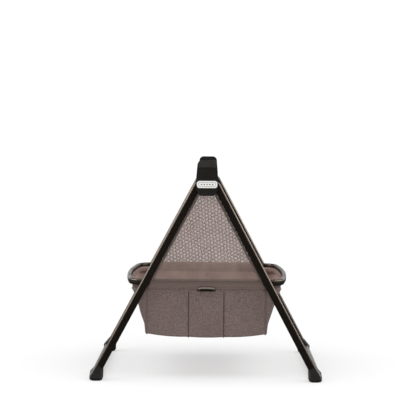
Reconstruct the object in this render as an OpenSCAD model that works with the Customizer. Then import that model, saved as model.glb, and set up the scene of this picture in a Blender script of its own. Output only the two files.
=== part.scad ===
// Folding A-frame stand with a storage basket, for a baby's carrycot.
// Origin: on the floor, midway between the four feet. +X runs from left to right foot,
// +Y from the front hub to the rear hub, +Z up. Millimetres.

/* [Overall] */
// Height of the two fold pins above the floor
pin_z = 557; // [540:1:575]
// Distance from the centre to the middle of each end's pair of legs
leg_plane = 250; // [244:1:256]
// Angle of each leg from vertical with the stand open
leg_angle = 28; // [27:0.5:29]
// Gap from each leg's centre line to its fold pin
leg_offset = 20.6; // [20:0.2:21.4]

/* [Legs] */
// Width of the leg tube, seen from the front
leg_w = 22; // [20:0.5:23]
// Depth of the leg tube, front to back
leg_d = 15; // [14:0.5:16]
// Wall of the leg and floor tubes
tube_wall = 1.6; // [1.2:0.1:2]
// Length of a leg tube's end beyond the fold pin, along the leg
leg_end = 616; // [612:1:618]

/* [Feet] */
// Width of a boot
boot_w = 37; // [35:0.5:38]
// Distance from the centre to a boot
foot_x = 308.5; // [307:0.5:310]
// Height of the boot's body where it holds the floor rail
boot_h = 28; // [27.5:0.5:30]
// Width of a floor rail
rail_w = 23; // [21:0.5:24]
// Height of a floor rail
rail_h = 18; // [16:0.5:18]

/* [Hubs] */
// Height of the hub's top
hub_top = 622; // [618:1:630]
// Height of the hub's bottom
hub_bottom = 523; // [520:1:528]
// Half width of the hub at the badge
hub_half = 30.6; // [29:0.2:32]
// Travel of a release button
button_travel = 4; // [2:0.5:4]

/* [Basket ring] */
// Height of the ring's centre line
ring_z = 277; // [270:1:284]
// Half length of the ring, to its tube's centre
ring_half = 229; // [225:1:233]
// Distance from the centre to each long side of the ring
ring_side = 230; // [228:0.5:231]
// Height of the ring's tube
ring_h = 18; // [16:0.5:18]
// Width of the ring's tube
ring_w = 12; // [11:0.5:12]
// Radius of the ring's corners
ring_corner = 42; // [40:1:44]
// Radius of the ring's bowed ends
ring_bow = 1400; // [1200:50:1800]

/* [Fabric] */
// Height of the bag's floor at its corners
bag_floor = 131; // [125:1:140]
// How far the middle of the bag's floor sags
bag_sag = 11; // [6:1:14]
// Thickness of the bag's fabric
cloth = 2; // [1.5:0.5:3]
// Half length of the sleeves on the ring's long sides
sleeve_half = 158; // [150:1:160]

/* [Hidden] */
$fn = 48;

near = 0.3;                       // gap between parts that move past each other
snug = 0.1;                       // gap between parts of one body
over = 1;                         // how far a cut runs past the face it opens
pin_r = 5;
running = 0.05;                   // radial clearance of a running fit
eye_r = 11;                       // radius of the eye in which a knuckle turns on its pin
leg_in = leg_plane - leg_d / 2;   // inner face of the legs
leg_out = leg_plane + leg_d / 2;  // outer face of the legs
face_y = leg_plane + 18;          // front face of a hub
back_y = leg_plane - 11.5;        // the face of a hub that looks at the other hub
cover_y = leg_out + near + 0.5;   // where the hub cover's rim ends
plate_y = leg_in - near - 0.3;    // where the hub back's plate ends
neck_z = 579;                     // lowest level of the solid upper part of a hub
badge_z = 555;
badge_t = 2;
tube_top = 16;                    // a leg tube's upper end, below the pin along the leg
rivet_r = 2.5;
knuckle_rivet = 45;
boot_rivet = 606;
boot_top = 600;                   // where the boot's collar meets the leg, along the leg
boot_base = 1.5;
boot_r = 6;                       // rounding of the boot's edges
boot_back = leg_plane - 18;
boot_front = leg_plane + 18;
rail_x = foot_x + 3.5;
rail_z = 17;
rail_end = leg_in - 2.5;
ring_pin_r = 4;
charcoal = "#262423";
bronze = "#5a5048";
taupe = "#7a6c66";

// Distance below the pin, along a leg, at which the leg's centre line is at a given height
function leg_reach(z) = (pin_z + leg_offset * sin(leg_angle) - z) / cos(leg_angle);
// Where a leg's centre line is at a given distance from the pin
function leg_x(t) = leg_offset * cos(leg_angle) + t * sin(leg_angle);
function leg_z(t) = pin_z + leg_offset * sin(leg_angle) - t * cos(leg_angle);
ring_x = leg_x(leg_reach(ring_z));

// ---------------------------------------------------------------- outlines

function unit(v) = v / norm(v);
// The arc that rounds corner b of the path a, b, c with radius r
function fillet(a, b, c, r, n) =
    let (u = unit(a - b), v = unit(c - b), half = acos(u * v) / 2)
    let (centre = b + unit(u + v) * r / sin(half), p = b + u * r / tan(half))
    let (q = b + v * r / tan(half), s = atan2(p.y - centre.y, p.x - centre.x))
    let (e = atan2(q.y - centre.y, q.x - centre.x), turn = (e - s + 900) % 360 - 180)
    [for (i = [0:n]) centre + r * [cos(s + turn * i / n), sin(s + turn * i / n)]];
// Corners are [x, y, radius]; a radius of 0 leaves the corner sharp
function rounded(corners, n = 6) =
    let (m = len(corners), at = [for (c = corners) [c.x, c.y]])
    [for (i = [0:m - 1]) each (corners[i].z > 0
        ? fillet(at[(i + m - 1) % m], at[i], at[(i + 1) % m], corners[i].z, n)
        : [at[i]])];
function box_corners(w, h, r) =
    [[w / 2, h / 2, r], [-w / 2, h / 2, r], [-w / 2, -h / 2, r], [w / 2, -h / 2, r]];
// A path on the right of the centre line, and its mirror image on the left
function both_sides(half) =
    concat(half, [for (i = [len(half) - 1:-1:0]) [-half[i].x, half[i].y, half[i].z]]);

module round_box(w, h, r, n = 6) polygon(rounded(box_corners(w, h, r), n));
module tube_section(w, h, r, wall) {
    difference() {
        round_box(w, h, r);
        round_box(w - 2 * wall, h - 2 * wall, r - wall);
    }
}

// ---------------------------------------------------------------- placing

// Parts are drawn at the rear right and mirrored to the front or the left
module to_end(rear) {
    if (rear) children();
    else mirror([0, 1, 0]) children();
}
module to_side(right) {
    if (right) children();
    else mirror([1, 0, 0]) children();
}
// From a leg's own axes, hanging straight down from its fold pin, to its place
module on_leg() translate([0, 0, pin_z]) rotate([0, -leg_angle, 0]) children();
// A prism along +Y between two planes, from an outline in X and Z
module along_y(from, to) translate([0, to, 0]) rotate([90, 0, 0])
    linear_extrude(to - from) children();
// A prism along X, from an outline in Y and Z
module along_x(from, to) translate([from, 0, 0]) rotate([90, 0, 90])
    linear_extrude(to - from) children();
module bore_y(x, z, r, from, to) translate([x, to, z]) rotate([90, 0, 0])
    cylinder(h = to - from, r = r);

// ---------------------------------------------------------------- hubs

function hub_outline(inset) = rounded(both_sides([
    [20.5 - inset / 2, hub_bottom + inset, 9],
    [hub_half - inset, hub_bottom + 19, 10],
    [hub_half - inset, hub_bottom + 50, 60],
    [26.5 - inset, hub_top - inset, 13 - inset]]), 7);
function button_outline(gap) = rounded(both_sides([
    [26.3 + gap, neck_z - 6 - gap, 3],
    [25.2 + gap, 601 + gap, 13 + gap]]), 8);
// Side view of a hub: its upper front slopes back
module hub_profile(from, to) along_x(-hub_half - over, hub_half + over)
    polygon(rounded([[from, hub_bottom - over, 0], [to, hub_bottom - over, 0],
        [to, 601, min(8, to - from - 1)], [to - 12, hub_top + over, 0],
        [from, hub_top + over, 0]], 6));
screw_spots = [[-22.6, 592], [22.6, 592], [0, 533]];
dock_w = 34;
dock_from = leg_plane - 8.1;
dock_to = leg_plane + 4;
dock_z = 587;
spring_from = leg_plane + 7;
button_back = leg_plane + 14;
button_gap = 0.7;                 // between a button and the opening it sits in

module hub_cover(rear) color(charcoal) to_end(rear) difference() {
    union() {
        difference() {
            intersection() {
                union() {
                    along_y(cover_y, face_y) polygon(hub_outline(0));
                    intersection() {
                        along_y(plate_y + snug, face_y) polygon(hub_outline(0));
                        translate([-50, 0, neck_z]) cube([100, 300, 100]);
                    }
                }
                hub_profile(200, face_y);
            }
            intersection() {
                along_y(cover_y - over, face_y - 3) polygon(hub_outline(2.6));
                translate([-50, 0, 0]) cube([100, 300, neck_z - 9]);
            }
        }
        bore_y(0, 533, 4.5, plate_y + snug, face_y - 2);
        bore_y(0, pin_z, 8.5, cover_y + 3.2, face_y - 2);
    }
    bore_y(0, pin_z, pin_r + 0.02, cover_y, face_y - 3.1);
    along_y(spring_from, face_y + over) polygon(button_outline(button_gap));
    translate([-dock_w / 2 - snug, 0, dock_z - snug])
        cube([dock_w + 2 * snug, dock_to + snug, 50]);
    for (s = screw_spots) bore_y(s.x, s.y, 1.5, plate_y - over, plate_y + 11);
}

module hub_back(rear) color(charcoal) to_end(rear) difference() {
    union() {
        along_y(back_y, plate_y) polygon(hub_outline(0.6));
        bore_y(0, pin_z, 8.5, plate_y - 0.5, plate_y + 0.3);
    }
    bore_y(0, pin_z, pin_r + 0.02, back_y - over, plate_y + over);
    for (s = screw_spots) {
        bore_y(s.x, s.y, 1.9, back_y - over, plate_y + over);
        bore_y(s.x, s.y, 3.7, back_y - over, back_y + 1.6);
    }
}

module badge(rear) color("#d9d9d6") to_end(rear) {
    translate([0, 0, badge_z]) along_y(face_y + 0.02, face_y + badge_t)
        round_box(57, 19.6, 7, 8);
}

module fold_pin(rear) color("#9a9a9a") to_end(rear) {
    bore_y(0, pin_z, pin_r, back_y + 0.2, face_y - 3.2);
    bore_y(0, pin_z, 7.6, cover_y + 0.2, cover_y + 3);
}

module dock_socket(rear) color("#3a3836") to_end(rear)
    translate([0, (dock_from + dock_to) / 2, dock_z]) difference() {
        linear_extrude(hub_top - dock_z) round_box(dock_w, dock_to - dock_from, 3);
        translate([0, 0, 3]) linear_extrude(hub_top)
            round_box(dock_w - 4, dock_to - dock_from - 3, 2);
    }

module release_button(rear) color(charcoal) to_end(rear) {
    difference() {
        along_y(button_back, face_y + 0.8) polygon(button_outline(0));
        along_x(-40, 40) polygon([[face_y - 0.7, neck_z - 7],
            [face_y + over, neck_z - 7], [face_y + over, neck_z - 4.5]]);
    }
    for (x = [-13, 13]) bore_y(x, 587, 2.2, button_back - 2.5, button_back + over);
}

// A coil of round wire along +Y: a ring of sides points at each step, joined into a tube
function coil_centre(i) = let (a = 360 * i / coil_steps)
    [coil_r * cos(a), i / coil_steps * coil_pitch, coil_r * sin(a)];
function coil_points(count) = [for (i = [0:count - 1], k = [0:coil_sides - 1])
    let (a = 360 * i / coil_steps, b = 360 * k / coil_sides, out = wire_r * cos(b))
    coil_centre(i) + [out * cos(a), wire_r * sin(b), out * sin(a)]];
function coil_walls(count) = [for (i = [0:count - 2], k = [0:coil_sides - 1])
    let (a = i * coil_sides, n = (k + 1) % coil_sides)
    [a + k, a + n, a + coil_sides + n, a + coil_sides + k]];
coil_steps = 14;
coil_sides = 6;
coil_r = 3.6;
wire_r = 0.5;
coil_turns = 4;
coil_pitch = (button_back - spring_from - 0.2 - 2 * wire_r) / coil_turns;
module button_spring(rear) color("#b0b0b0") to_end(rear) for (x = [-13, 13]) {
    count = coil_turns * coil_steps + 1;
    last = (count - 1) * coil_sides;
    translate([x, spring_from + 0.1 + wire_r, 587]) polyhedron(coil_points(count),
        concat([[for (k = [coil_sides - 1:-1:0]) k]], coil_walls(count),
            [[for (k = [0:coil_sides - 1]) last + k]]));
}

module hub_screws() color("#6b6b6b") for (rear = [true, false]) to_end(rear)
    for (s = screw_spots) {
        bore_y(s.x, s.y, 1.45, back_y + 1.4, plate_y + 10.5);
        difference() {
            bore_y(s.x, s.y, 3.5, back_y + 0.2, back_y + 1.5);
            translate([s.x, back_y, s.y]) cube([4.4, 1.6, 0.9], center = true);
            translate([s.x, back_y, s.y]) cube([0.9, 1.6, 4.4], center = true);
        }
    }

// ---------------------------------------------------------------- legs

// The left leg's eye is the outer layer on the pin and the right leg's is the inner one
module knuckle(rear, right) color(charcoal) to_end(rear) to_side(right) {
    eye_from = right ? leg_in + 0.3 : leg_plane + 0.2;
    eye_to = right ? leg_plane - 0.2 : leg_out - 0.3;
    on_leg() difference() {
        union() {
            bore_y(0, 0, eye_r, eye_from, eye_to);
            translate([0, eye_from, -9]) cube([16, eye_to - eye_from, 10]);
            translate([leg_offset, leg_plane, -tube_top])
                linear_extrude(tube_top + 1) round_box(leg_w - 4, leg_d - 0.6, 4);
            translate([leg_offset, leg_plane, -tube_top - 46]) linear_extrude(48)
                round_box(leg_w - 2 * tube_wall - 0.2, leg_d - 2 * tube_wall - 0.2, 4.6);
        }
        bore_y(0, 0, pin_r + running, eye_from - over, eye_to + over);
        bore_y(leg_offset, -knuckle_rivet, rivet_r, leg_in - over, leg_plane + 4);
    }
}

module leg(rear, right) color(bronze) to_end(rear) to_side(right) difference() {
    on_leg() difference() {
        translate([leg_offset, leg_plane, -leg_end]) linear_extrude(leg_end - tube_top)
            tube_section(leg_w, leg_d, 6, tube_wall);
        bore_y(leg_offset, -knuckle_rivet, rivet_r, leg_in - over, leg_plane);
        bore_y(leg_offset, -boot_rivet, rivet_r, leg_in - over, leg_plane);
    }
    if (!right) bore_y(ring_x, ring_z, ring_pin_r + 0.02, leg_in - over, leg_plane);
    if (right) for (z = saddle_screw_z)
        bore_y(leg_x(leg_reach(z)), z, 1.5, leg_in - over, leg_plane);
}

module leg_rivets(right) color("#6b6b6b") for (rear = [true, false])
    to_end(rear) to_side(right) on_leg() for (t = [knuckle_rivet, boot_rivet]) {
        bore_y(leg_offset, -t, rivet_r - 0.05, leg_in - 0.2, leg_plane - 0.5);
        if (t == knuckle_rivet) bore_y(leg_offset, -t, 4.5, leg_in - 1, leg_in - 0.05);
    }

// ---------------------------------------------------------------- feet

// A low foot that holds the rail's end behind the leg, and rises on its inner side to a
// collar round the leg
module boot_shell() hull() {
    for (x = [-1, 1]) {
        for (y = [boot_back + boot_r, boot_front - boot_r])
            translate([foot_x + x * (boot_w / 2 - boot_r), y, boot_base + boot_r])
                sphere(boot_r, $fn = 32);
        translate([foot_x + x * (boot_w / 2 - boot_r), boot_back + boot_r, boot_h - boot_r])
            sphere(boot_r, $fn = 32);
    }
    translate([foot_x + boot_w / 2 - boot_r - 1, boot_front - 9, boot_h - 8 - boot_r])
        sphere(boot_r + 1, $fn = 32);
    on_leg() translate([leg_offset, leg_plane, -boot_top]) linear_extrude(2)
        round_box(leg_w + 2, leg_d + 3, 6.5);
}

module boot(rear, right) color(charcoal) to_end(rear) to_side(right) difference() {
    boot_shell();
    on_leg() translate([leg_offset, leg_plane, -leg_end - snug]) linear_extrude(80)
        round_box(leg_w + 2 * snug, leg_d + 2 * snug, 6);
    on_leg() bore_y(leg_offset, -boot_rivet, rivet_r + 2, boot_back - over, leg_in + over);
    translate([rail_x, 0, rail_z]) along_y(boot_back - over, rail_end + snug)
        round_box(rail_w + 2 * snug, rail_h + 2 * snug, 7);
    translate([foot_x, leg_plane, 0]) linear_extrude(3.6) round_box(24.2, 25.2, 8.1);
}

module foot_pads(right) color("#1c1c1c") for (rear = [true, false]) to_end(rear)
    to_side(right) translate([foot_x, leg_plane, 0]) linear_extrude(3.5)
        round_box(24, 25, 8);

module floor_rail(right) color(bronze) to_side(right) translate([rail_x, 0, rail_z])
    along_y(-rail_end, rail_end) tube_section(rail_w, rail_h, 7, tube_wall);

// ---------------------------------------------------------------- ring

corner_y = ring_side - ring_corner;
bow_angle = asin(corner_y / (ring_bow - ring_corner));
corner_x = ring_half - ring_bow + (ring_bow - ring_corner) * cos(bow_angle);
corner_steps = 12;
bow_steps = 8;
ring_wall = 1.5;

// Points [x, y, direction of the outward normal] along one half of the ring: a straight
// side, a corner, the bowed end, and the same again in reverse
ring_quarter = concat([[0.2, ring_side, 90]],
    [for (i = [0:corner_steps]) let (a = 90 - (90 - bow_angle) * i / corner_steps)
        [corner_x + ring_corner * cos(a), corner_y + ring_corner * sin(a), a]],
    [for (i = [1:bow_steps]) let (a = bow_angle * (1 - i / bow_steps))
        [ring_half - ring_bow * (1 - cos(a)), ring_bow * sin(a), a]]);
ring_path = concat(ring_quarter, [for (i = [len(ring_quarter) - 2:-1:0])
    [ring_quarter[i].x, -ring_quarter[i].y, -ring_quarter[i].z]]);
function ring_loops(section) = [for (p = ring_path, q = section)
    [p.x + q.x * cos(p.z), p.y + q.x * sin(p.z), q.y]];
// Walls between the loops of n points, starting at point first
function ring_walls(n, first) = [for (i = [0:len(ring_path) - 2], k = [0:n - 1])
    let (a = first + i * n, m = (k + 1) % n) [a + k, a + n + k, a + n + m, a + m]];
function flipped(faces) = [for (f = faces) [for (k = [len(f) - 1:-1:0]) f[k]]];
// The flat ends of a tube whose bore's points start at point first
function ring_ends(n, first) = let (last = (len(ring_path) - 1) * n) [for (k = [0:n - 1])
    let (m = (k + 1) % n) each [[k, m, first + m, first + k],
        [last + m, last + k, first + last + k, first + last + m]]];

module ring_half_tube(right) to_side(right) translate([0, 0, ring_z]) {
    outer = rounded(box_corners(ring_w, ring_h, 5.6), 5);
    inner = rounded(box_corners(ring_w - 2 * ring_wall, ring_h - 2 * ring_wall, 4.1), 5);
    n = len(outer);
    first = n * len(ring_path);
    polyhedron(concat(ring_loops(outer), ring_loops(inner)),
        concat(ring_walls(n, 0), flipped(ring_walls(n, first)), ring_ends(n, first)));
}

module ring_tube_left() color(bronze) difference() {
    ring_half_tube(false);
    for (rear = [true, false]) to_end(rear)
        bore_y(-ring_x, ring_z, ring_pin_r + 2 * running, ring_side - 20, ring_side + 20);
}

module ring_tube_right() color(bronze) ring_half_tube(true);

module ring_joiners() color("#8a8a8a") for (y = [-ring_side, ring_side])
    translate([-40, y, ring_z]) rotate([90, 0, 90]) linear_extrude(80)
        round_box(ring_w - 3.2, ring_h - 3.2, 4);

module ring_pivot_pins() color("#9a9a9a") for (rear = [true, false]) to_end(rear) {
    bore_y(-ring_x, ring_z, ring_pin_r, ring_side - 9, leg_plane - 0.5);
    bore_y(-ring_x, ring_z, 6.5, ring_side - 9, ring_side - ring_w / 2 - 3 * near);
}

module ring_spacers() color("#1c1c1c") for (rear = [true, false]) to_end(rear)
    difference() {
        bore_y(-ring_x, ring_z, 7, ring_side + ring_w / 2 + near, leg_in - 0.05);
        bore_y(-ring_x, ring_z, ring_pin_r + 0.02, ring_side, leg_in + over);
    }

// Open cups on the right legs, in which the ring's right side rests
saddle_screw_z = [ring_z - 25, ring_z - 38];
saddle_x = ring_x + 2;
cup_z = ring_z - ring_h / 2 - 0.5;
cup_y = ring_side - ring_w / 2 - 3.2;
module ring_saddles() color(charcoal) for (rear = [true, false]) to_end(rear)
    difference() {
        union() {
            along_x(saddle_x, saddle_x + 12) polygon(rounded([
                [leg_in - 0.1, cup_z - 4.5, 0], [leg_in - 0.1, cup_z, 0],
                [cup_y, cup_z, 2], [cup_y, cup_z + 5, 0.8],
                [cup_y - 2.2, cup_z + 5, 0.8], [cup_y - 2.2, cup_z - 4.5, 3]], 4));
            on_leg() translate([leg_offset, 0, -leg_reach(ring_z)])
                along_y(leg_in - 3.8, leg_in - 0.1) polygon(rounded([[8, -5, 3], [-8, -5, 3],
                    [-8, -52, 7], [8, -52, 7]], 6));
        }
        for (z = saddle_screw_z)
            bore_y(leg_x(leg_reach(z)), z, 1.9, leg_in - 9, leg_in + over);
    }

module saddle_screws() color("#6b6b6b") for (rear = [true, false], z = saddle_screw_z)
    to_end(rear) {
        bore_y(leg_x(leg_reach(z)), z, 1.45, leg_in - 4.5, leg_plane - 2);
        bore_y(leg_x(leg_reach(z)), z, 3.5, leg_in - 5.4, leg_in - 3.9);
    }

// ---------------------------------------------------------------- fabric

sleeve_top = ring_z + 10;
sleeve_low = ring_z - 18;
module sleeve(rear) color(taupe) to_end(rear) along_x(-sleeve_half, sleeve_half)
    difference() {
        translate([ring_side, (sleeve_top + sleeve_low) / 2])
            round_box(ring_w + 3.4, sleeve_top - sleeve_low, 6);
        translate([ring_side, ring_z]) round_box(ring_w + 0.6, ring_h + 0.6, 5.9);
    }

bag_top = sleeve_low - 0.3;
bag_side = ring_side - 1;
bag_kink = 157;
// Plan of the bag, with half length x and its sides pulled in by inset
module bag_plan(x, inset, r) round_box(2 * (x - inset), 2 * (bag_side - inset), r - inset);
module bag_block(inset, top) {
    hull() {
        translate([0, 0, top - 0.1]) linear_extrude(0.1) bag_plan(214, inset, 30);
        translate([0, 0, bag_kink]) linear_extrude(0.1) bag_plan(178, inset, 14);
    }
    hull() {
        translate([0, 0, bag_kink]) linear_extrude(0.1) bag_plan(178, inset, 14);
        translate([0, 0, bag_floor + inset]) linear_extrude(0.1) bag_plan(175, inset, 12);
        translate([0, 0, bag_floor + inset - bag_sag]) linear_extrude(0.1)
            round_box(150, 2 * (bag_side - inset) - 6, 20);
    }
}
module basket_bag() color(taupe) difference() {
    bag_block(0, bag_top);
    bag_block(cloth, bag_top + 1);
}

module pull_strap() color("#8c7f79") translate([0, -ring_side - 9.6, sleeve_low - 3])
    difference() {
        along_y(0, 1.8) round_box(44, 14, 3);
        translate([0, 0, -2]) along_y(-over, 3) round_box(34, 5, 2);
    }

module snap_studs() color(taupe) for (rear = [true, false]) to_end(rear)
    bore_y(0, bag_top - 9, 6, bag_side - cloth - 2.2, bag_side - cloth - 0.1);

// A triangle between the legs, from inside the hub to the ring's sleeve
module mesh_panel(rear) color("#9a8c84") to_end(rear) {
    low = ring_z + 5;
    high = hub_bottom + 4;
    edge = leg_w / 2 + 0.6;
    half = [for (z = [low, high]) [leg_x(leg_reach(z)) - edge / cos(leg_angle), z, 0]];
    along_y(leg_in + 1, leg_in + 3) polygon(rounded(both_sides(half)));
}

hub_cover(false);  // hub_cover_front
hub_cover(true);  // hub_cover_rear
hub_back(false);  // hub_back_front
hub_back(true);  // hub_back_rear
badge(false);  // badge_front
badge(true);  // badge_rear
fold_pin(false);  // fold_pin_front
fold_pin(true);  // fold_pin_rear
dock_socket(false);  // dock_socket_front
dock_socket(true);  // dock_socket_rear
release_button(false);  // release_button_front
release_button(true);  // release_button_rear
button_spring(false);  // button_spring_front
button_spring(true);  // button_spring_rear
hub_screws();
knuckle(false, false);  // knuckle_front_left
knuckle(false, true);  // knuckle_front_right
knuckle(true, false);  // knuckle_rear_left
knuckle(true, true);  // knuckle_rear_right
leg(false, false);  // leg_front_left
leg(false, true);  // leg_front_right
leg(true, false);  // leg_rear_left
leg(true, true);  // leg_rear_right
boot(false, false);  // boot_front_left
boot(false, true);  // boot_front_right
boot(true, false);  // boot_rear_left
boot(true, true);  // boot_rear_right
floor_rail(false);  // floor_rail_left
floor_rail(true);  // floor_rail_right
foot_pads(false);  // foot_pads_left
foot_pads(true);  // foot_pads_right
leg_rivets(false);  // leg_rivets_left
leg_rivets(true);  // leg_rivets_right
ring_pivot_pins();
ring_spacers();
ring_saddles();
saddle_screws();
ring_tube_left();
ring_tube_right();
ring_joiners();
sleeve(false);  // sleeve_front
sleeve(true);  // sleeve_rear
basket_bag();
pull_strap();
snap_studs();
mesh_panel(false);  // mesh_panel_front
mesh_panel(true);  // mesh_panel_rear
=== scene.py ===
import math

import bpy
import numpy as np
from mathutils import Euler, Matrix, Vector


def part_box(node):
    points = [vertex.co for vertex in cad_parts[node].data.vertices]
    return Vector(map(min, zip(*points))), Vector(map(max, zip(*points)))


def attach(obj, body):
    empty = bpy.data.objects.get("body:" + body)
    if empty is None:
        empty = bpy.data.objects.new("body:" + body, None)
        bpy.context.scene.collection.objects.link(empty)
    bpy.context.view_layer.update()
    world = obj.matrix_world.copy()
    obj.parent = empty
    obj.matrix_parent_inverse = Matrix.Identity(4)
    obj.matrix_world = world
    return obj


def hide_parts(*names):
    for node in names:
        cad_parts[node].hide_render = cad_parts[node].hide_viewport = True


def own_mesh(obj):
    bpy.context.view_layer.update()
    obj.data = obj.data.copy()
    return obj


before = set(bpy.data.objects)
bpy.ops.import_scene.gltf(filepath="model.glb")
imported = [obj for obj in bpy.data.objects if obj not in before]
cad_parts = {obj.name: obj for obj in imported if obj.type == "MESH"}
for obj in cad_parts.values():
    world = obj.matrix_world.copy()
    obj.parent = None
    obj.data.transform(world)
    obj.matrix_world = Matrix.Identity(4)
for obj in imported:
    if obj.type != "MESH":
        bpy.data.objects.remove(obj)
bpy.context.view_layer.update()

MM = 0.001

# ---------------------------------------------------------------- camera, floor and light

CAMERA_AT = (0.0206, -4.0204, 0.7156)
CAMERA_LENS = 116.83              # mm, on a 36 mm sensor
CAMERA_PITCH = math.radians(-3.448)
CAMERA_YAW = math.radians(0.269)
CAMERA_ROLL = math.radians(0.452)

FLOOR_HALF = 14                   # metres
FLOOR_PALE = 0.42
FLOOR_GLOW = 0.54
FLOOR_MIRRORED = 0.05             # how pale the floor is in the object's reflections
SUN_STRENGTH = 1.5
SUN_WIDTH = math.radians(60)
SUN_TILT = math.radians(36)       # from straight above, towards its side
SUN_FRONT = math.radians(8)       # and towards the front
WORLD_FILL = 0.34                 # what lights the object from all round
WORLD_MIRRORED = 0.06             # what its glossy surfaces see there
WORLD_SEEN = 1.05                 # what the camera sees there


def tone(red, green, blue):
    """An sRGB colour of 0 to 255 as the linear colour that a shader takes."""
    linear = [((c / 255 + 0.055) / 1.055) ** 2.4 if c > 10 else c / 3294.6 for c in (red, green, blue)]
    return (*linear, 1.0)


def make_camera():
    data = bpy.data.cameras.new("camera")
    data.lens = CAMERA_LENS
    data.sensor_width = 36
    data.clip_end = 60
    camera = bpy.data.objects.new("camera", data)
    camera.location = CAMERA_AT
    turn = Euler((math.pi / 2 + CAMERA_PITCH, 0, CAMERA_YAW), "XYZ").to_matrix()
    roll = Euler((0, 0, CAMERA_ROLL), "XYZ").to_matrix()
    camera.rotation_euler = (turn @ roll).to_euler()
    bpy.context.scene.collection.objects.link(camera)
    bpy.context.scene.camera = camera


def make_floor():
    """A pale floor that gives off part of its own light, so that shadows on it stay faint."""
    corners = [(x * FLOOR_HALF, y * FLOOR_HALF, 0) for x, y in ((-1, -1), (1, -1), (1, 1), (-1, 1))]
    mesh = bpy.data.meshes.new("floor")
    mesh.from_pydata(corners, [], [(0, 1, 2, 3)])
    floor = bpy.data.objects.new("floor", mesh)
    bpy.context.scene.collection.objects.link(floor)
    pale = (FLOOR_PALE, FLOOR_PALE, FLOOR_PALE, 1)
    in_reflections = (FLOOR_MIRRORED, FLOOR_MIRRORED, FLOOR_MIRRORED, 1)
    paper = Shader("floor_paper", colour=pale, roughness=1, specular=0)
    paper.put("Emission Color", (1, 1, 1, 1))
    mirrored = paper.node("LightPath", "Is Glossy Ray")
    paper.put("Emission Strength", paper.ramp(mirrored, 0, 1, FLOOR_GLOW, 0))
    paper.put("Base Color", paper.blend(mirrored, pale, in_reflections))
    mesh.materials.append(paper.material)


def make_suns():
    """Soft light from high on both sides, which is even over the whole floor."""
    for name, side in (("sun_left", -1), ("sun_right", 1)):
        data = bpy.data.lights.new(name, "SUN")
        data.energy = SUN_STRENGTH
        data.angle = SUN_WIDTH
        light = bpy.data.objects.new(name, data)
        light.rotation_euler = (SUN_FRONT, side * SUN_TILT, 0)
        bpy.context.scene.collection.objects.link(light)


def make_light(name, place, target, size, watts):
    """A rectangular light at a place, turned to its target and unseen by the camera."""
    data = bpy.data.lights.new(name, "AREA")
    data.shape = "RECTANGLE"
    data.size, data.size_y = size
    data.energy = watts
    light = bpy.data.objects.new(name, data)
    light.location = place
    light.rotation_euler = (Vector(target) - Vector(place)).to_track_quat("-Z", "Y").to_euler()
    bpy.context.scene.collection.objects.link(light)
    light.visible_camera = False
    return light


def make_area_lights():
    """Two strips and a backdrop that only glossy surfaces show, and a fill that only matt ones do."""
    for name, side in (("left_strip", -1), ("right_strip", 1)):
        strip = make_light(name, (side * 2.6, 0, 1.5), (0, 0, 0.3), (3.2, 1.3), 100)
        strip.visible_diffuse = False
    back = make_light("backdrop", (0, 4.5, 1.0), (0, 0, 0.4), (8, 2.4), 60)
    back.visible_diffuse = False
    fill = make_light("front_fill", (0, -4.2, 1.9), (0, 0, 0.25), (2.6, 1.6), 34)
    fill.visible_glossy = False


def make_world():
    """White behind the object, and a dimmer fill for what the object reflects."""
    world = bpy.data.worlds.new("studio")
    bpy.context.scene.world = world
    world.use_nodes = True
    nodes, links = world.node_tree.nodes, world.node_tree.links
    path = nodes.new("ShaderNodeLightPath")
    before = None
    for ray, strength in (("Is Glossy Ray", WORLD_MIRRORED), ("Is Camera Ray", WORLD_SEEN)):
        level = nodes.new("ShaderNodeMapRange")
        level.inputs["To Min"].default_value = WORLD_FILL
        level.inputs["To Max"].default_value = strength
        links.new(path.outputs[ray], level.inputs["Value"])
        if before:
            links.new(before, level.inputs["To Min"])
        before = level.outputs["Result"]
    links.new(before, nodes["Background"].inputs["Strength"])
    nodes["Background"].inputs["Color"].default_value = (1, 1, 1, 1)


# ---------------------------------------------------------------- materials

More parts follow.
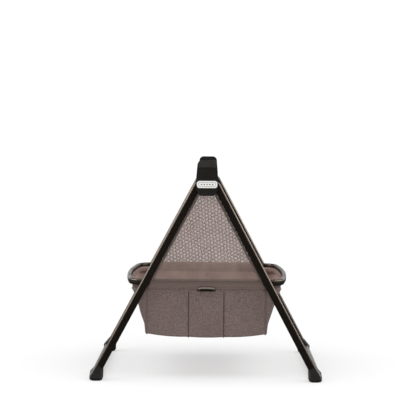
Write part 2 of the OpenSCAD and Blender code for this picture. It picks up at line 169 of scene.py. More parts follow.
class Shader:
    """A material under construction. Socket values are numbers, colours or other nodes' outputs."""

    def __init__(self, name, colour, roughness, specular=0.5, metallic=0.0):
        self.material = bpy.data.materials.new(name)
        self.material.use_nodes = True
        self.tree = self.material.node_tree
        self.surface = self.tree.nodes["Principled BSDF"]
        self.put("Base Color", colour)
        self.put("Roughness", roughness)
        self.put("Specular IOR Level", specular)
        self.put("Metallic", metallic)

    def fill(self, socket, value):
        if isinstance(value, bpy.types.NodeSocket):
            self.tree.links.new(value, socket)
        else:
            socket.default_value = value

    def put(self, name, value, node=None):
        self.fill((node or self.surface).inputs[name], value)

    def node(self, kind, output, **inputs):
        node = self.tree.nodes.new("ShaderNode" + kind)
        for key, value in inputs.items():
            self.put(key.replace("_", " "), value, node)
        return node.outputs[output]

    def place(self, scale=(1, 1, 1), uv=False):
        """Where a point is: on the object in metres, or on its cloth in metres of cloth."""
        source = self.node("TexCoord", "UV" if uv else "Object")
        return self.node("Mapping", "Vector", Vector=source, Scale=scale)

    def noise(self, where, scale, detail=3.0, roughness=0.5):
        return self.node("TexNoise", "Fac", Vector=where, Scale=scale, Detail=detail, Roughness=roughness)

    def ramp(self, value, low, high, to_low=0.0, to_high=1.0):
        """value, drawn out from low..high to to_low..to_high."""
        node = self.tree.nodes.new("ShaderNodeMapRange")
        for key, number in (("From Min", low), ("From Max", high), ("To Min", to_low), ("To Max", to_high)):
            node.inputs[key].default_value = number
        self.tree.links.new(value, node.inputs["Value"])
        return node.outputs["Result"]

    def math(self, operation, first, second):
        node = self.tree.nodes.new("ShaderNodeMath")
        node.operation = operation
        for socket, value in zip(node.inputs, (first, second)):
            self.fill(socket, value)
        return node.outputs[0]

    def blend(self, factor, first, second):
        """From the first colour to the second, by a factor of 0 to 1."""
        node = self.tree.nodes.new("ShaderNodeMix")
        node.data_type = "RGBA"
        for number, value in ((0, factor), (6, first), (7, second)):
            self.fill(node.inputs[number], value)
        return node.outputs[2]

    def bump(self, height, distance, strength=1.0):
        normal = self.node("Bump", "Normal", Height=height, Distance=distance, Strength=strength)
        self.put("Normal", normal)


def moulded_plastic(name, dark, light, grain=1500.0, roughness=0.36):
    """Matt moulded plastic with a spark-eroded grain and a little handling shine."""
    made = Shader(name, dark, roughness, specular=0.35)
    where = made.place()
    fine = made.noise(where, grain, 2)
    cloudy = made.noise(where, 26, 4, 0.6)
    made.put("Base Color", made.blend(made.ramp(cloudy, 0.3, 0.75), dark, light))
    worn = made.noise(where, 9, 2)
    made.put("Roughness", made.ramp(worn, 0.25, 0.75, roughness - 0.07, roughness + 0.09))
    made.bump(fine, 0.00008, 0.55)
    return made.material


def tube_paint(name):
    """Dark bronze powder coat: fine flake in a satin film with a light orange peel."""
    made = Shader(name, tone(68, 60, 53), 0.34, specular=0.4, metallic=0.92)
    where = made.place()
    flake = made.noise(where, 2600, 1)
    cloudy = made.noise(where, 14, 3)
    flecked = made.blend(made.ramp(flake, 0.35, 0.75), tone(58, 51, 45), tone(86, 77, 69))
    made.put("Base Color", made.blend(made.ramp(cloudy, 0.3, 0.7, 0, 0.35), flecked, tone(62, 55, 49)))
    made.put("Roughness", made.ramp(cloudy, 0.3, 0.7, 0.3, 0.4))
    peel = made.noise(where, 420, 2)
    made.bump(made.math("ADD", peel, made.math("MULTIPLY", flake, 0.3)), 0.00006, 0.35)
    return made.material


def turned_steel(name, colour, roughness=0.28):
    """Steel with fine marks from turning."""
    made = Shader(name, colour, roughness, metallic=1.0)
    where = made.place(scale=(1, 6, 1))
    lines = made.noise(where, 900, 2)
    made.put("Roughness", made.ramp(lines, 0.3, 0.7, roughness - 0.06, roughness + 0.12))
    made.bump(lines, 0.00003, 0.4)
    return made.material


def rubber(name):
    made = Shader(name, tone(26, 25, 24), 0.75, specular=0.3)
    where = made.place()
    dust = made.noise(where, 180, 4)
    dusty = made.ramp(dust, 0.45, 0.8, 0, 0.5)
    made.put("Base Color", made.blend(dusty, tone(22, 21, 20), tone(52, 49, 46)))
    made.bump(made.noise(where, 2200, 2), 0.0001, 0.5)
    return made.material


def woven(name, dark, light, pitch, slub, relief, sheen=0.25, fleck=0.55):
    """A plain weave on cloth coordinates in metres. pitch is the distance between threads, and slub how
    strongly single threads differ, which gives a melange yarn its streaks."""
    made = Shader(name, dark, 0.88, specular=0.2)
    cloth = made.place(uv=True)
    turn = math.tau / pitch
    apart = made.node("SeparateXYZ", "X", Vector=cloth)
    across = made.math("SINE", made.math("MULTIPLY", apart, turn), 0.0)
    along_source = made.node("SeparateXYZ", "Y", Vector=cloth)
    along = made.math("SINE", made.math("MULTIPLY", along_source, turn), 0.0)
    crossing = made.math("MULTIPLY", across, along)
    warp = made.noise(made.place(scale=(1, 0.09, 1), uv=True), 0.62 / pitch, 3, 0.65)
    weft = made.noise(made.place(scale=(0.09, 1, 1), uv=True), 0.62 / pitch, 3, 0.65)
    grains = made.noise(cloth, 0.33 / pitch, 4, 0.7)
    streaks = made.math("ADD", made.math("MULTIPLY", made.math("ADD", warp, weft), 0.5 * (1 - fleck)),
                        made.math("MULTIPLY", grains, fleck))
    shade = made.ramp(streaks, 0.5 - 0.5 / (1 + slub), 0.5 + 0.5 / (1 + slub))
    broad = made.noise(cloth, 11, 3)
    mixed = made.blend(shade, dark, light)
    soiled = made.blend(made.ramp(broad, 0.3, 0.75, 0, 0.22), mixed, dark)
    # painted shade: the hollows between crossing threads are darkened towards near black
    shaded_gaps = made.blend(made.ramp(crossing, -1, 0.2, 0.3, 0.0), soiled, (0.01, 0.008, 0.007, 1))
    made.put("Base Color", shaded_gaps)
    made.put("Sheen Weight", sheen)
    made.put("Sheen Roughness", 0.45)
    made.put("Sheen Tint", light)
    height = made.math("ADD", made.math("MULTIPLY", crossing, 0.5), made.math("MULTIPLY", streaks, 1.4))
    made.bump(height, relief, 0.7)
    return made.material


def net_yarn(name, dark, light):
    """Knitted polyester yarn: fine filaments across each strand."""
    made = Shader(name, dark, 0.7, specular=0.3)
    where = made.place()
    fibres = made.noise(where, 3000, 2)
    broad = made.noise(where, 30, 3)
    made.put("Base Color", made.blend(made.ramp(broad, 0.3, 0.7), dark, light))
    made.put("Sheen Weight", 0.2)
    made.bump(fibres, 0.00008, 0.5)
    return made.material


def satin_plate(name):
    """Brushed satin metal of the badge."""
    made = Shader(name, tone(226, 226, 223), 0.34, specular=0.5, metallic=0.1)
    where = made.place(scale=(0.03, 1, 1))
    lines = made.noise(where, 2600, 2)
    made.put("Base Color", made.blend(made.ramp(lines, 0.3, 0.7), tone(232, 232, 229), tone(250, 250, 248)))
    made.put("Roughness", made.ramp(lines, 0.3, 0.7, 0.28, 0.42))
    made.bump(lines, 0.00002, 0.4)
    return made.material


def make_materials():
    return {
        "casing": moulded_plastic("casing_plastic", tone(29, 27, 24), tone(39, 36, 33)),
        "button": moulded_plastic("button_plastic", tone(28, 26, 22), tone(36, 34, 30), 1100.0, 0.36),
        "tube": tube_paint("bronze_powder_coat"),
        "steel": turned_steel("turned_steel", tone(176, 174, 170)),
        "plug": moulded_plastic("socket_plastic", tone(30, 29, 28), tone(40, 38, 36), 1800.0, 0.5),
        "rubber": rubber("foot_rubber"),
        "badge": satin_plate("satin_badge"),
        "bag_cloth": woven("melange_canvas", tone(84, 69, 65), tone(148, 131, 126), 1.5 * MM, 2.0, 0.0004),
        "lining": woven("plain_lining", tone(145, 122, 114), tone(168, 145, 136), 0.9 * MM, 0.6, 0.0002),
        "sleeve_cloth": woven("sleeve_twill", tone(104, 88, 82), tone(128, 111, 104), 1.0 * MM, 1.2, 0.0003),
        "webbing": woven("strap_webbing", tone(112, 100, 94), tone(160, 147, 140), 1.6 * MM, 0.8, 0.0006),
        "binding": woven("binding_tape", tone(92, 80, 75), tone(124, 110, 104), 1.1 * MM, 0.8, 0.0004),
        "mesh_cloth": net_yarn("knitted_net", tone(128, 107, 100), tone(146, 125, 117)),
        "thread": net_yarn("stitch_thread", tone(120, 106, 100), tone(150, 136, 129)),
        "seam": woven("seam_fold", tone(64, 54, 50), tone(92, 80, 75), 1.1 * MM, 0.8, 0.0003),
        # painted shadow: a near-black tape that stands for the shade in the gap under the pull strap and in
        # the folds beside it
        "painted_shadow_tape": woven("painted_shadow_tape", tone(20, 19, 18), tone(34, 32, 30), 1.4 * MM, 0.6, 0.0004),
        "stud": moulded_plastic("stud_plastic", tone(118, 102, 96), tone(134, 118, 111), 1500.0, 0.4),
        "ink": moulded_plastic("badge_ink", tone(60, 59, 57), tone(70, 69, 67), 1500.0, 0.5),
    }


NODE_MATERIALS = {
    "hub_cover": "casing", "hub_back": "casing", "knuckle": "casing", "boot": "casing",
    "ring_saddles": "casing", "release_button": "button", "badge": "badge", "dock_socket": "plug",
    "fold_pin": "steel", "button_spring": "steel", "hub_screws": "steel", "leg_rivets": "steel",
    "ring_pivot_pins": "steel", "saddle_screws": "steel", "ring_joiners": "steel",
    "leg": "tube", "floor_rail": "tube", "ring_tube": "tube", "foot_pads": "rubber",
    "ring_spacers": "rubber", "snap_studs": "stud",
}


def paint_frame(materials):
    """Gives each CAD node the material of the longest key that its name starts with."""
    for name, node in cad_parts.items():
        kinds = [key for key in NODE_MATERIALS if name.startswith(key)]
        if kinds:
            node.data.materials.clear()
            node.data.materials.append(materials[NODE_MATERIALS[max(kinds, key=len)]])


# ---------------------------------------------------------------- mesh helpers

def make_piece(name, points, faces, materials, body, uv=None):
    """A mesh piece that rides on a body. uv holds one place on the cloth, in metres, for each point."""
    mesh = bpy.data.meshes.new(name)
    mesh.from_pydata([tuple(p) for p in points], [], [tuple(f) for f in faces])
    for material in materials:
        mesh.materials.append(material)
    if uv is not None:
        layer = mesh.uv_layers.new(name="cloth")
        corners = np.zeros(len(mesh.loops), dtype=np.int32)
        mesh.loops.foreach_get("vertex_index", corners)
        layer.data.foreach_set("uv", np.asarray(uv, float)[corners].astype(np.float32).ravel())
    mesh.polygons.foreach_set("use_smooth", [True] * len(mesh.polygons))
    mesh.update()
    piece = bpy.data.objects.new(name, mesh)
    bpy.context.scene.collection.objects.link(piece)
    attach(piece, body)
    return piece


def apply_modifiers(piece):
    graph = bpy.context.evaluated_depsgraph_get()
    finished = bpy.data.meshes.new_from_object(piece.evaluated_get(graph))
    piece.modifiers.clear()
    piece.data = finished


def grid_faces(rows, columns, closed=False):
    """Quads between rows of points, each of that many columns."""
    last = columns if closed else columns - 1
    return [(r * columns + c, r * columns + (c + 1) % columns,
             (r + 1) * columns + (c + 1) % columns, (r + 1) * columns + c)
            for r in range(rows - 1) for c in range(last)]


def unit(vectors):
    return vectors / np.maximum(np.linalg.norm(vectors, axis=-1, keepdims=True), 1e-12)


def distance_along(path):
    """How far along a path each of its points is."""
    return np.concatenate([[0], np.cumsum(np.linalg.norm(np.diff(path, axis=0), axis=1))])


def ribbon(name, path, normals, width, thickness, material, body, crown=0.0):
    """A flat tape along a path of points, lying on the surface whose outward normals are given."""
    path, normals = np.asarray(path, float), unit(np.asarray(normals, float))
    forward = unit(np.gradient(path, axis=0))
    side = unit(np.cross(forward, normals))
    half_section = [(0.15, 1 + crown), (0.44, 1), (0.5, 0.7), (0.5, 0)]
    section = [(-u, v) for u, v in reversed(half_section)] + half_section
    run = distance_along(path)
    points, uv = [], []
    for place, out, across, metres in zip(path, normals, side, run):
        for u, v in section:
            points.append(place + across * u * width + out * v * thickness)
            uv.append((u * width, metres))
    count = len(section)
    faces = grid_faces(len(path), count, closed=True)
    faces.append(tuple(range(count - 1, -1, -1)))
    faces.append(tuple(range((len(path) - 1) * count, len(path) * count)))
    return make_piece(name, points, faces, [material], body, uv)


STITCH_LENGTH = 3.2 * MM
STITCH_GAP = 1.5 * MM
THREAD_RADIUS = 0.42 * MM
STITCH_STEPS, THREAD_SIDES = 5, 6


def stitches(name, path, normals, material, body):
    """A row of separate stitches along a path, each a short bent thread that dips into the cloth."""
    path, normals = np.asarray(path, float), unit(np.asarray(normals, float))
    run = distance_along(path)

    def at(metres):
        place = np.array([np.interp(metres, run, path[:, k]) for k in range(3)])
        return place, unit(np.array([np.interp(metres, run, normals[:, k]) for k in range(3)]))

    points, faces = [], []
    pitch = STITCH_LENGTH + STITCH_GAP
    for i in range(int(run[-1] // pitch)):
        start = i * pitch + STITCH_GAP / 2
        first = len(points)
        for k in range(STITCH_STEPS):
            share = k / (STITCH_STEPS - 1)
            here = start + share * STITCH_LENGTH
            place, out = at(here)
            forward = unit(at(here + MM)[0] - at(here - MM)[0])
            side = np.cross(forward, out)
            arch = math.sin(math.pi * share)
            rise = THREAD_RADIUS * (1.7 * arch - 0.6)
            thin = THREAD_RADIUS * (0.55 + 0.45 * arch)
            for m in range(THREAD_SIDES):
                a = math.tau * m / THREAD_SIDES
                points.append(place + out * (rise + thin * math.sin(a)) + side * thin * math.cos(a))
        skin = grid_faces(STITCH_STEPS, THREAD_SIDES, closed=True)
        last = first + (STITCH_STEPS - 1) * THREAD_SIDES
        faces += [tuple(first + n for n in face) for face in skin]
        faces.append(tuple(first + m for m in range(THREAD_SIDES - 1, -1, -1)))
        faces.append(tuple(last + m for m in range(THREAD_SIDES)))
    return make_piece(name, points, faces, [material], body)


def lathe(name, profile, centre, axis, material, body, sides=40):
    """A turned piece: profile is (radius, height) from its rim to its centre, along axis from centre."""
    axis = Vector(axis).normalized()
    first = axis.orthogonal().normalized()
    second = axis.cross(first)
    points = []
    for radius, height in profile:
        for k in range(sides):
            a = math.tau * k / sides
            outward = first * math.cos(a) + second * math.sin(a)
            points.append(Vector(centre) + axis * height + outward * radius)
    faces = grid_faces(len(profile), sides, closed=True)
    faces.append(tuple(range(sides - 1, -1, -1)))
    faces.append(tuple(range((len(profile) - 1) * sides, len(profile) * sides)))
    return make_piece(name, points, faces, [material], body)


# ---------------------------------------------------------------- the bag

bag_low, bag_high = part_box("basket_bag")
ring_low, ring_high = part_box("ring_tube_right")
BAG_W = bag_high.y - 0.5 * MM             # half width of the bag's outer face
BAG_TOP = bag_high.z
BAG_L_TOP = bag_high.x
BAG_KINK = 157 * MM                       # height at which the sloping ends turn upright
BAG_L_KINK = 178 * MM
BAG_L_FLOOR = 175 * MM
BAG_FLOOR = 131 * MM
EDGE_SAG = 10.5 * MM                      # how far the long lower edges sag in the middle
RING_CORNER = (173.9 * MM, 188 * MM)      # centre of the ring's corner arcs
RING_INSIDE = 35.5 * MM                   # from there to the hem inside the ring
HEM_INSET = 12.5 * MM                     # from the ring's outer end to the hem inside it
RING_BOW = 1400 * MM                      # radius of the ring's bowed ends
HEM_Z = 274 * MM
HEM_Y = 217.2 * MM                        # the hem inside the ring clears the pins' heads and the cups
HEM_CLIMB = (158 * MM, 168 * MM)          # from the middle, where the hem goes up inside the ring
HEM_ROWS = ((1, 1), (0.99, 0.6), (0.93, 0.3), (0.45, 0.12))    # how far each row has gone in, and up
BAYS = (-168 * MM, -50 * MM, 50 * MM, 168 * MM)    # the upright seams of a long side
SIDE_STEPS, CORNER_STEPS, END_STEPS = 100, 12, 84
CORNER_TOP, CORNER_KINK, CORNER_FLOOR = 30, 14, 12     # mm, the upright corners' radius at each height
ROW_STEP, LOW_ROW_STEP = 4.1 * MM, 4.2 * MM
ROWS_ABOVE_KINK, ROWS_BELOW_KINK = 25, 5
HELD_ROWS = 5                             # the first rows of a wall, which the folds leave alone
FLOOR_ROWS = 24
CLOTH_THICK = 1.5 * MM


def plan_loop(half_length, half_width, radius):
    """A rounded rectangle, counter-clockwise from the front left, with the same steps at each height."""
    x, y = half_length - radius, half_width - radius
    corners = [(x, -y, -90), (x, y, 0), (-x, y, 90), (-x, -y, 180)]
    starts = [(-x, -half_width), (half_length, -y), (x, half_width), (-half_length, y)]
    ends = [(x, -half_width), (half_length, y), (-x, half_width), (-half_length, -y)]
    points = []
    for k, (cx, cy, angle) in enumerate(corners):
        steps = SIDE_STEPS if k % 2 == 0 else END_STEPS
        for i in range(steps):
            share = i / steps
            points.append([starts[k][0] + (ends[k][0] - starts[k][0]) * share,
                           starts[k][1] + (ends[k][1] - starts[k][1]) * share])
        for i in range(CORNER_STEPS):
            a = math.radians(angle + 90 * i / CORNER_STEPS)
            points.append([cx + radius * math.cos(a), cy + radius * math.sin(a)])
    return np.array(points)


def smoothstep(value, low, high):
    t = np.clip((value - low) / (high - low), 0, 1)
    return t * t * (3 - 2 * t)


def hem_line(plan):
    """The bag's top edge. Between the sleeve's ends it hangs under the sleeves, and beyond them it goes
    up inside the ring."""
    size = np.abs(plan)
    climb = smoothstep(size[:, 0], HEM_CLIMB[0], HEM_CLIMB[1])
    angle = np.arctan2(size[:, 1] - RING_CORNER[1], np.maximum(size[:, 0] - RING_CORNER[0], 1e-6))
    bowed, past = size[:, 1] < RING_CORNER[1], size[:, 0] > RING_CORNER[0]
    inside_x = np.where(bowed, ring_high.x - HEM_INSET - size[:, 1] ** 2 / (2 * RING_BOW),
                        np.where(past, RING_CORNER[0] + RING_INSIDE * np.cos(angle), size[:, 0]))
    inside_y = np.where(bowed, size[:, 1], RING_CORNER[1] + RING_INSIDE * np.sin(angle))
    inside = np.stack([inside_x, np.minimum(inside_y, HEM_Y)], axis=1) * np.sign(plan)
    return np.column_stack([plan + (inside - plan) * climb[:, None], BAG_TOP + (HEM_Z - BAG_TOP) * climb])


def bay_scallop(x):
    """0 at each upright seam and 1 in the middle of each bay."""
    share = np.interp(x, BAYS, range(len(BAYS)))
    return np.sin(np.pi * (share % 1)) * (np.abs(x) < BAYS[-1])


def ripple(along, waves):
    """A smooth uneven wave: waves holds (wavelength in metres, height, phase)."""
    return sum(height * np.sin(math.tau * along / length + phase) for length, height, phase in waves)


FOLDS = ((0.083, 0.9, 0.4), (0.127, 1.3, 2.1), (0.051, 0.45, 1.2), (0.211, 1.2, 4.0))
CREASES = ((0.037, 0.5, 0.9), (0.061, 0.6, 3.0), (0.095, 0.7, 5.1))


def wall_rows():
    """Rows of points from the hem to the lower edge, and how far down each row is, from 0 to 1."""
    hem = hem_line(plan_loop(BAG_L_TOP, BAG_W, CORNER_TOP * MM))
    levels = [BAG_TOP - 3 * MM - k * ROW_STEP for k in range(ROWS_ABOVE_KINK)]
    levels += [BAG_KINK - k * LOW_ROW_STEP for k in range(1, ROWS_BELOW_KINK + 1)]
    rows = []
    for z in levels:
        if z > BAG_KINK:
            share = (BAG_TOP - z) / (BAG_TOP - BAG_KINK)
            length = BAG_L_TOP + (BAG_L_KINK - BAG_L_TOP) * share
            radius = (CORNER_TOP + (CORNER_KINK - CORNER_TOP) * share) * MM
        else:
            share = (BAG_KINK - z) / (BAG_KINK - BAG_FLOOR)
            length = BAG_L_KINK + (BAG_L_FLOOR - BAG_L_KINK) * share
            radius = (CORNER_KINK + (CORNER_FLOOR - CORNER_KINK) * share) * MM
        plan = plan_loop(length, BAG_W, radius)
        row = np.column_stack([plan, np.full(len(plan), z)])
        if not rows:
            rows += [row + (hem - row) * (inward, inward, upward) for inward, upward in HEM_ROWS]
        rows.append(row)
    edge = rows[-1].copy()
    edge[:, 2] = BAG_FLOOR
    rows.append(edge)
    return rows


def drape(rows):
    """Sags the lower edge between the seams and works soft folds into the walls."""
    for i, row in enumerate(rows):
        down = max(0.0, (BAG_TOP - row[:, 2].mean()) / (BAG_TOP - BAG_FLOOR))
        on_side = smoothstep(np.abs(row[:, 1]), 0.6 * BAG_W, 0.95 * BAG_W)
        middle = 1 - np.clip(np.abs(row[:, 0]) / BAG_L_FLOOR, 0, 1) ** 2.4
        across = 1 - np.clip(np.abs(row[:, 1]) / BAG_W, 0, 1) ** 2
        scallop = bay_scallop(row[:, 0])
        sag = on_side * (EDGE_SAG * middle + 1.4 * MM * scallop) + (1 - on_side) * 5 * MM * across
        row[:, 2] -= sag * down ** 1.5
        front = np.where(row[:, 1] < 0, 0.0, 0.37)
        along = np.where(on_side > 0.5, row[:, 0], row[:, 1]) + front
        loose = math.sin(math.pi * min(1, down * 0.96 + 0.04)) ** 0.8
        slant = along + 0.12 * row[:, 2]
        fine = ripple(along - 0.35 * row[:, 2], CREASES)
        depth = ripple(slant, FOLDS) * loose + fine * loose * (0.4 + down)
        belly = 2.6 * loose * on_side * scallop
        pull = np.exp(-((row[:, 0]) / (26 * MM)) ** 2) * np.exp(-down / 0.16) * (row[:, 1] < 0) * on_side
        quiet = smoothstep(np.abs(np.abs(row[:, 0]) - BAYS[-1]), 0, 12 * MM)
        outward = unit(np.roll(row, -1, axis=0) - np.roll(row, 1, axis=0))
        normal = np.column_stack([outward[:, 1], -outward[:, 0], np.zeros(len(row))])
        free = 1 if i >= HELD_ROWS else 0
        push = depth * 0.75 * (0.35 + 0.65 * quiet) - 2.4 + belly - 2.5 * pull
        push = push * MM * min(1, down * 7) * free
        row += unit(normal) * np.minimum(push, 0.2 * MM)[:, None]
    return rows


def floor_rows(edge):
    """Rows from the lower edge to the middle of the floor, which sags."""
    rows = []
    for k in range(1, FLOOR_ROWS + 1):
        share = 1 - k / (FLOOR_ROWS + 2)
        row = edge.copy()
        row[:, :2] *= share
        dip = 1 - share ** 2
        level = BAG_FLOOR - (BAG_FLOOR - bag_low.z + 1 * MM) * (0.35 + 0.65 * dip)
        row[:, 2] = edge[:, 2] * share ** 3 + level * (1 - share ** 3)
        row[:, 2] += ripple(row[:, 0] + 0.6 * row[:, 1], CREASES) * 0.6 * MM * share * dip
        rows.append(row)
    rows[-1][:, 2] = rows[-1][:, 2].mean()
    return rows


def make_bag(materials):
    walls = drape(wall_rows())
    floor = floor_rows(walls[-1])
    columns = len(walls[0])
    rows = walls + floor
    points = np.vstack([np.concatenate(rows), rows[-1].mean(axis=0)])
    faces = grid_faces(len(rows), columns, closed=True)
    faces = [face[::-1] for face in faces]
    last = (len(rows) - 1) * columns
    faces += [(last + (k + 1) % columns, last + k, last + columns) for k in range(columns)]
    around = distance_along(walls[20])
    uv = [np.column_stack([around, row[:, 2]]) for row in walls]
    uv += [row[:, :2] + 3.0 for row in floor] + [points[-1:, :2] + 3.0]
    bag = make_piece("bag_shell", points, faces, [materials["bag_cloth"], materials["lining"]], "ring",
                     np.concatenate(uv))
    thick = bag.modifiers.new("cloth", "SOLIDIFY")
    thick.thickness = CLOTH_THICK
    thick.offset = -1
    thick.material_offset = 1
    thick.material_offset_rim = 1
    apply_modifiers(bag)
    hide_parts("basket_bag")
    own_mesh(bag)
    return walls


SEAM_TAIL = 2.2 * MM


def seam_path(walls, x, front):
    """Points down a wall along an upright seam, with a short tail below the lower edge."""
    sign = -1 if front else 1
    path = []
    for row in walls[HELD_ROWS:]:
        side = np.where(row[:, 1] * sign > 0.9 * BAG_W)[0]
        order = side[np.argsort(row[side, 0])]
        path.append([x] + [np.interp(x, row[order, 0], row[order, k]) for k in (1, 2)])
    path = np.array(path)
    tail = path[-1] + (0, 0, -SEAM_TAIL)
    return np.vstack([path, tail]), np.tile((0.0, sign, 0.0), (len(path) + 1, 1))


def make_bag_seams(walls, materials):
    for front in (True, False):
        end = "front" if front else "rear"
        for x in BAYS:
            corner = abs(x) > 100 * MM
            where = ("corner" if corner else "bay") + ("_left" if x < 0 else "_right")
            path, normals = seam_path(walls, x, front)
            width = 5.5 * MM if corner else 2.6 * MM
            tape = ribbon(f"bag_seam_{end}_{where}", path, normals, width, 0.9 * MM,
                          materials["binding" if corner else "seam"], "ring", 0.25)
            inward = -1 if x > 0 else 1
            beside = path + (inward * (width / 2 + 2.2 * MM), 0, 0)
            row = stitches(f"bag_stitch_{end}_{where}", beside[:-1], normals[:-1], materials["thread"],
                           "ring")
            for piece in (tape, row):
                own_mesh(piece)


def make_hem_stitches(walls, materials):
    """A stitched line along the bag's long sides, just under the sleeves."""
    for front in (True, False):
        end = "front" if front else "rear"
        sign = -1 if front else 1
        row = walls[HELD_ROWS]
        side = np.where((row[:, 1] * sign > 0.95 * BAG_W) & (np.abs(row[:, 0]) < 155 * MM))[0]
        path = row[side][np.argsort(row[side, 0])]
        normals = np.tile((0.0, sign, 0.0), (len(path), 1))
        line = stitches(f"bag_hem_stitch_{end}", path, normals, materials["thread"], "ring")
        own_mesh(line)


# ---------------------------------------------------------------- sleeves, strap and studs

SLEEVE_STEPS = 130


def sleeve_section(grow):
    """Half of a sleeve's section from its top, as (across, up) from the tube's centre: round over the tube,
    upright beside it, and drawn together under it. grow is how far it stands off the inner layer."""
    half, top, corner = 6.5 * MM + grow, 9.5 * MM + grow, 6 * MM + grow
    arc = [(half - corner + corner * math.sin(a), top - corner + corner * math.cos(a))
           for a in np.linspace(0, math.pi / 2, 7)]
    side = [(half, z * MM) for z in (2, -1, -4, -6.5)]
    foot = [(half - 1.0 * MM, -9.5 * MM), (half - 3.2 * MM, -12.5 * MM), (2.4 * MM + grow * 0.4, -15.5 * MM),
            (1.4 * MM + grow * 0.4, -18.2 * MM - grow)]
    return [(0.0, top)] + arc + side + foot


def make_sleeve(end, materials):
    sign = -1 if end == "front" else 1
    low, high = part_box("sleeve_" + end)
    centre_y = (low.y + high.y) / 2
    centre_z = (ring_low.z + ring_high.z) / 2
    half_length = high.x
    outer, inner = sleeve_section(1.2 * MM), sleeve_section(0.0)
    loops = []
    for section in (outer, inner):
        right = section[1:]
        loops.append(right + [(-a, b) for a, b in reversed(right)])
    points, uv, count = [], [], len(loops[0])
    for i in range(SLEEVE_STEPS + 1):
        x = half_length * (2 * i / SLEEVE_STEPS - 1)
        edge = 1 - abs(x) / half_length
        for layer, loop in enumerate(loops):
            run = 0.0
            for k, (a, b) in enumerate(loop):
                below = max(0.0, -b / (18 * MM))
                lean = below * 9 * MM * np.sign(x) * (1 - min(1.0, edge * 8))
                crease = ripple(x + 0.4 * b * np.sign(a) + 0.05 * sign, CREASES) * 0.28 * MM
                pucker = ripple(x, ((0.0128, 0.5, 1.0), (0.0187, 0.4, 2.2))) * 0.5 * MM * below
                stand = (crease + pucker) * min(1.0, edge * 12) * (1 if abs(a) > 4 * MM else 0.35)
                grow = 1 + max(0.0, stand) / (7 * MM) if layer == 0 else 1
                previous = loop[k - 1]
                run += math.hypot(a - previous[0], b - previous[1]) if k else 0
                points.append((x + lean, centre_y + a * grow, centre_z + b))
                uv.append((x, run))
    faces = []
    for i in range(SLEEVE_STEPS):
        base, following = 2 * count * i, 2 * count * (i + 1)
        for k in range(count):
            n = (k + 1) % count
            faces.append((base + k, following + k, following + n, base + n))
            faces.append((base + count + n, following + count + n, following + count + k, base + count + k))
    for base, turn in ((0, 1), (2 * count * SLEEVE_STEPS, -1)):
        for k in range(count):
            n = (k + 1) % count
            faces.append((base + k, base + n, base + count + n, base + count + k)[::turn])
    sleeve = make_piece("sleeve_cover_" + end, points, faces, [materials["sleeve_cloth"]], "ring", uv)
    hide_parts("sleeve_" + end)
    seam_z = centre_z - 15.2 * MM
    for side, word in ((sign, "outer"), (-sign, "inner")):
        path = [(x, centre_y + side * 3.9 * MM, seam_z) for x in np.linspace(-154 * MM, 154 * MM, 60)]
        normals = np.tile((0.0, side, 0.12), (len(path), 1))
        row = stitches(f"sleeve_stitch_{end}_{word}", path, normals, materials["thread"], "ring")


def make_strap(materials):
    """The pull strap at the front: a webbing loop, and the near-black tape that it folds round, which is
    painted shadow standing for the gap under it; thin near-black strips beside it are painted shade in the
    folds.
    """
    low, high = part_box("pull_strap")
    y = low.y + 0.4 * MM
    bow = np.linspace(-1, 1, 33)
    path = [(t * 23 * MM, y - 1.2 * MM * (1 - t ** 4), high.z - 1.4 * MM - 2.2 * MM * t ** 4) for t in bow]
    normals = np.tile((0.0, -1.0, 0.25), (len(path), 1))
    strap = ribbon("pull_loop", path, normals, 4.2 * MM, 1.3 * MM, materials["webbing"], "ring", 0.3)
    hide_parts("pull_strap")
    # painted shadow: the near-black tape in the gap under the loop, and thin near-black strips for the shade
    # in the folds beside it
    gap_shadow_path = [(t * 18 * MM, y + 3.2 * MM, high.z - 7.6 * MM - 0.8 * MM * t ** 2) for t in bow]
    folds = [[(side * (15 + 11 * t) * MM, y + (4.0 + 0.5 * t) * MM, high.z + (rise * t - 8.2) * MM)
              for t in (0, 0.35, 0.7, 1)] for side, rise in ((-1, 3.4), (1, 2.6), (-1, -3.0), (1, -2.2))]
    for name, path, width in [("pull_gap_shadow", gap_shadow_path, 7.5)] + [(f"pull_fold_shadow_{k}", fold, 2.6)
                                                         for k, fold in enumerate(folds)]:
        tape = ribbon(name, path, np.tile((0.0, -1.0, 0.1), (len(path), 1)), width * MM, 1.2 * MM,
                      materials["painted_shadow_tape"], "ring", 0.4)


STUD_PROFILE = ((6.0, 0.0), (6.0, 0.9), (5.6, 1.5), (4.9, 1.7), (4.4, 1.45), (3.9, 1.5), (3.0, 2.0),
                (1.6, 2.3), (0.3, 2.4))              # mm, as (radius, height)


def make_studs(materials):
    low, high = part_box("snap_studs")
    height = (low.z + high.z) / 2
    for end, sign in (("front", -1), ("rear", 1)):
        profile = [(r * MM, z * MM) for r, z in STUD_PROFILE]
        stud = lathe("stud_cap_" + end, profile, (0, sign * high.y, height), (0, -sign, 0),
                     materials["stud"], "ring")
        if end == "front":
            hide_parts("snap_studs")


# ---------------------------------------------------------------- mesh panels

NET_PITCH = 1.62 * MM
NET_RISE = 7 * MM                 # how far the panel goes on, up into the hub
NET_TURN = math.radians(2.4)      # of each panel's cells, one way at the front and the other at the rear
NET_HOLE = 0.59                   # a hole's width as a share of its cell's
NET_TUCK = 3 * MM                 # from the panel's edge to the outermost cells
NET_WAVE = 0.14 * MM


def panel_box(end):
    """The corners of a panel, and the plane in its middle."""
    low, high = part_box("mesh_panel_" + end)
    return low, high + Vector((0, 0, NET_RISE)), (low.y + high.y) / 2


def panel_half_width(end, z):
    """Half the panel's width at a height, from the slope of its CAD node's sides."""
    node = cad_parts["mesh_panel_" + end]
    points = np.array([v.co for v in node.data.vertices])
    low, high = points[:, 2].min(), points[:, 2].max()
    bottom = np.abs(points[points[:, 2] < low + MM][:, 0]).max()
    top = np.abs(points[points[:, 2] > high - MM][:, 0]).max()
    return bottom + (top - bottom) * (z - low) / (high - low)


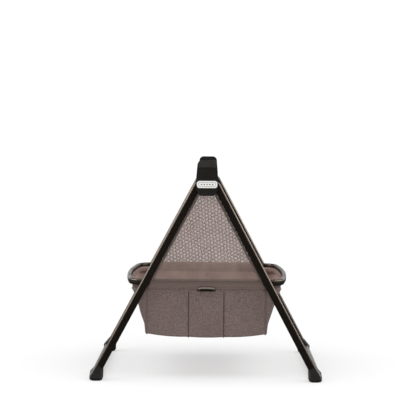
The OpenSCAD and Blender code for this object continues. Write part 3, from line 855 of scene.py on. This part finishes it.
def make_net(end, materials):
    """A knitted net with real holes: each cell is a hexagon, with a smaller hexagon left open in it. The
    two panels' cells are turned a little against each other."""
    low, high, middle = panel_box(end)
    sign = -1 if end == "front" else 1
    half_step, row_step = NET_PITCH / 2, NET_PITCH * math.sqrt(3) / 2
    count = int(0.75 * (high - low).length / row_step)
    row, column = np.mgrid[-count:count + 1, -count:count + 1]
    cells = np.stack([(2 * column + row % 2) * half_step, row * row_step], axis=-1).reshape(-1, 2)
    turn = sign * NET_TURN
    turned = np.array([[math.cos(turn), math.sin(turn)], [-math.sin(turn), math.cos(turn)]])
    centre = np.array([0, (low.z + high.z) / 2])
    x, z = (cells @ turned + centre).T
    within = (np.abs(x) < panel_half_width(end, z) - NET_TUCK)
    cells = cells[within & (z > low.z + NET_TUCK) & (z < high.z - NET_TUCK)]
    angles = np.radians(30 + 60 * np.arange(6))
    corner = np.stack([np.cos(angles), np.sin(angles)], axis=1) * NET_PITCH / math.sqrt(3)
    outer = (cells[:, None, :] + corner).reshape(-1, 2)
    inner = (cells[:, None, :] + corner * NET_HOLE).reshape(-1, 2)
    keys = np.round(outer / (half_step, row_step / 3)).astype(np.int64)
    _, first, index = np.unique(keys, axis=0, return_index=True, return_inverse=True)
    shared = outer[first]
    index = index.reshape(len(cells), 6)
    hole = len(shared) + np.arange(len(cells) * 6).reshape(len(cells), 6)
    flat = np.concatenate([shared, inner]) @ turned + centre
    following = np.roll(np.arange(6), -1)
    faces = np.stack([index, index[:, following], hole[:, following], hole], axis=2).reshape(-1, 4)
    x, z = flat[:, 0].copy(), flat[:, 1].copy()
    up = (z - low.z) / (high.z - low.z)
    x += NET_WAVE * np.sin(z / 0.026 + sign) * (1 - (x / 0.16) ** 2)
    z += NET_WAVE * np.sin(x / 0.022 + 2.0 * sign) * np.sin(math.pi * up)
    y = middle + 0.7 * MM * np.sin(x / 0.045 + sign) * np.sin(math.pi * up)
    points = np.stack([x, y, z], axis=1)
    net = make_piece("mesh_net_" + end, points, faces, [materials["mesh_cloth"]], "hubs")
    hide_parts("mesh_panel_" + end)
    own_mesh(net)


def make_bindings(end, materials):
    """Tapes round the net's edges, in two layers with the net between them, and their stitches."""
    low, high, middle = panel_box(end)
    sign = -1 if end == "front" else 1
    inset, wide = 3.2 * MM, 6 * MM
    heights = np.linspace(low.z + 1 * MM, high.z - 1 * MM, 40)
    left = [(-panel_half_width(end, z) + inset, middle, z) for z in heights]
    right = [(panel_half_width(end, z) - inset, middle, z) for z in heights]
    bottom_half, top_half = panel_half_width(end, low.z) - 6.5 * MM, panel_half_width(end, high.z) - 6.5 * MM
    bottom = [(x, middle, low.z + 2.6 * MM) for x in np.linspace(-bottom_half, bottom_half, 40)]
    top = [(x, middle, high.z - 4 * MM) for x in np.linspace(-top_half, top_half, 12)]
    for name, path, width in (("left", left, wide), ("right", right, wide), ("bottom", bottom, 5 * MM),
                              ("top", top, 8 * MM)):
        for side in (-1, 1):
            face = "out" if side == sign else "in"
            normals = np.tile((0.0, side, 0.0), (len(path), 1))
            tape = ribbon(f"net_tape_{end}_{name}_{face}", path, normals, width, 1.0 * MM,
                          materials["binding"], "hubs", 0.2)
            above = np.array(path) + np.array([0.0, side * 1.05 * MM, 0.0])
            row = stitches(f"net_stitch_{end}_{name}_{face}", above, normals, materials["thread"], "hubs")
            for piece in (tape, row):
                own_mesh(piece)


# ---------------------------------------------------------------- badge

def make_badge_detail(end, materials):
    """A fine inset frame line and a row of plain dots on the badge."""
    low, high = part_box("badge_" + end)
    sign = -1 if end == "front" else 1
    face = low.y if end == "front" else high.y
    centre = (low.z + high.z) / 2
    half_w, half_h, corner = high.x - 4.5 * MM, (high.z - low.z) / 2 - 4.5 * MM, 4 * MM
    path = []
    for cx, cz, angle in ((1, 1, 0), (-1, 1, 90), (-1, -1, 180), (1, -1, 270)):
        for k in range(9):
            a = math.radians(angle + 90 * k / 8)
            path.append((cx * (half_w - corner) + corner * math.cos(a), face,
                         centre + cz * (half_h - corner) + corner * math.sin(a)))
    path.append(path[0])
    normals = np.tile((0.0, sign, 0.0), (len(path), 1))
    line = ribbon(f"badge_line_{end}", path, normals, 0.7 * MM, 0.15 * MM, materials["ink"], "hubs")
    for k in range(5):
        dot = lathe(f"badge_dot_{end}_{k}", ((1.7 * MM, 0), (1.7 * MM, 0.15 * MM), (1.3 * MM, 0.3 * MM),
                                            (0.2 * MM, 0.35 * MM)),
                    ((k - 2) * 7.5 * MM, face, centre), (0, sign, 0), materials["ink"], "hubs", 20)


# ---------------------------------------------------------------- the whole

def main():
    make_camera()
    make_world()
    make_floor()
    make_suns()
    make_area_lights()
    bpy.context.scene.view_settings.view_transform = "Standard"
    materials = make_materials()
    paint_frame(materials)
    walls = make_bag(materials)
    make_bag_seams(walls, materials)
    make_hem_stitches(walls, materials)
    for end in ("front", "rear"):
        make_sleeve(end, materials)
        make_net(end, materials)
        make_bindings(end, materials)
        make_badge_detail(end, materials)
    make_strap(materials)
    make_studs(materials)


main()
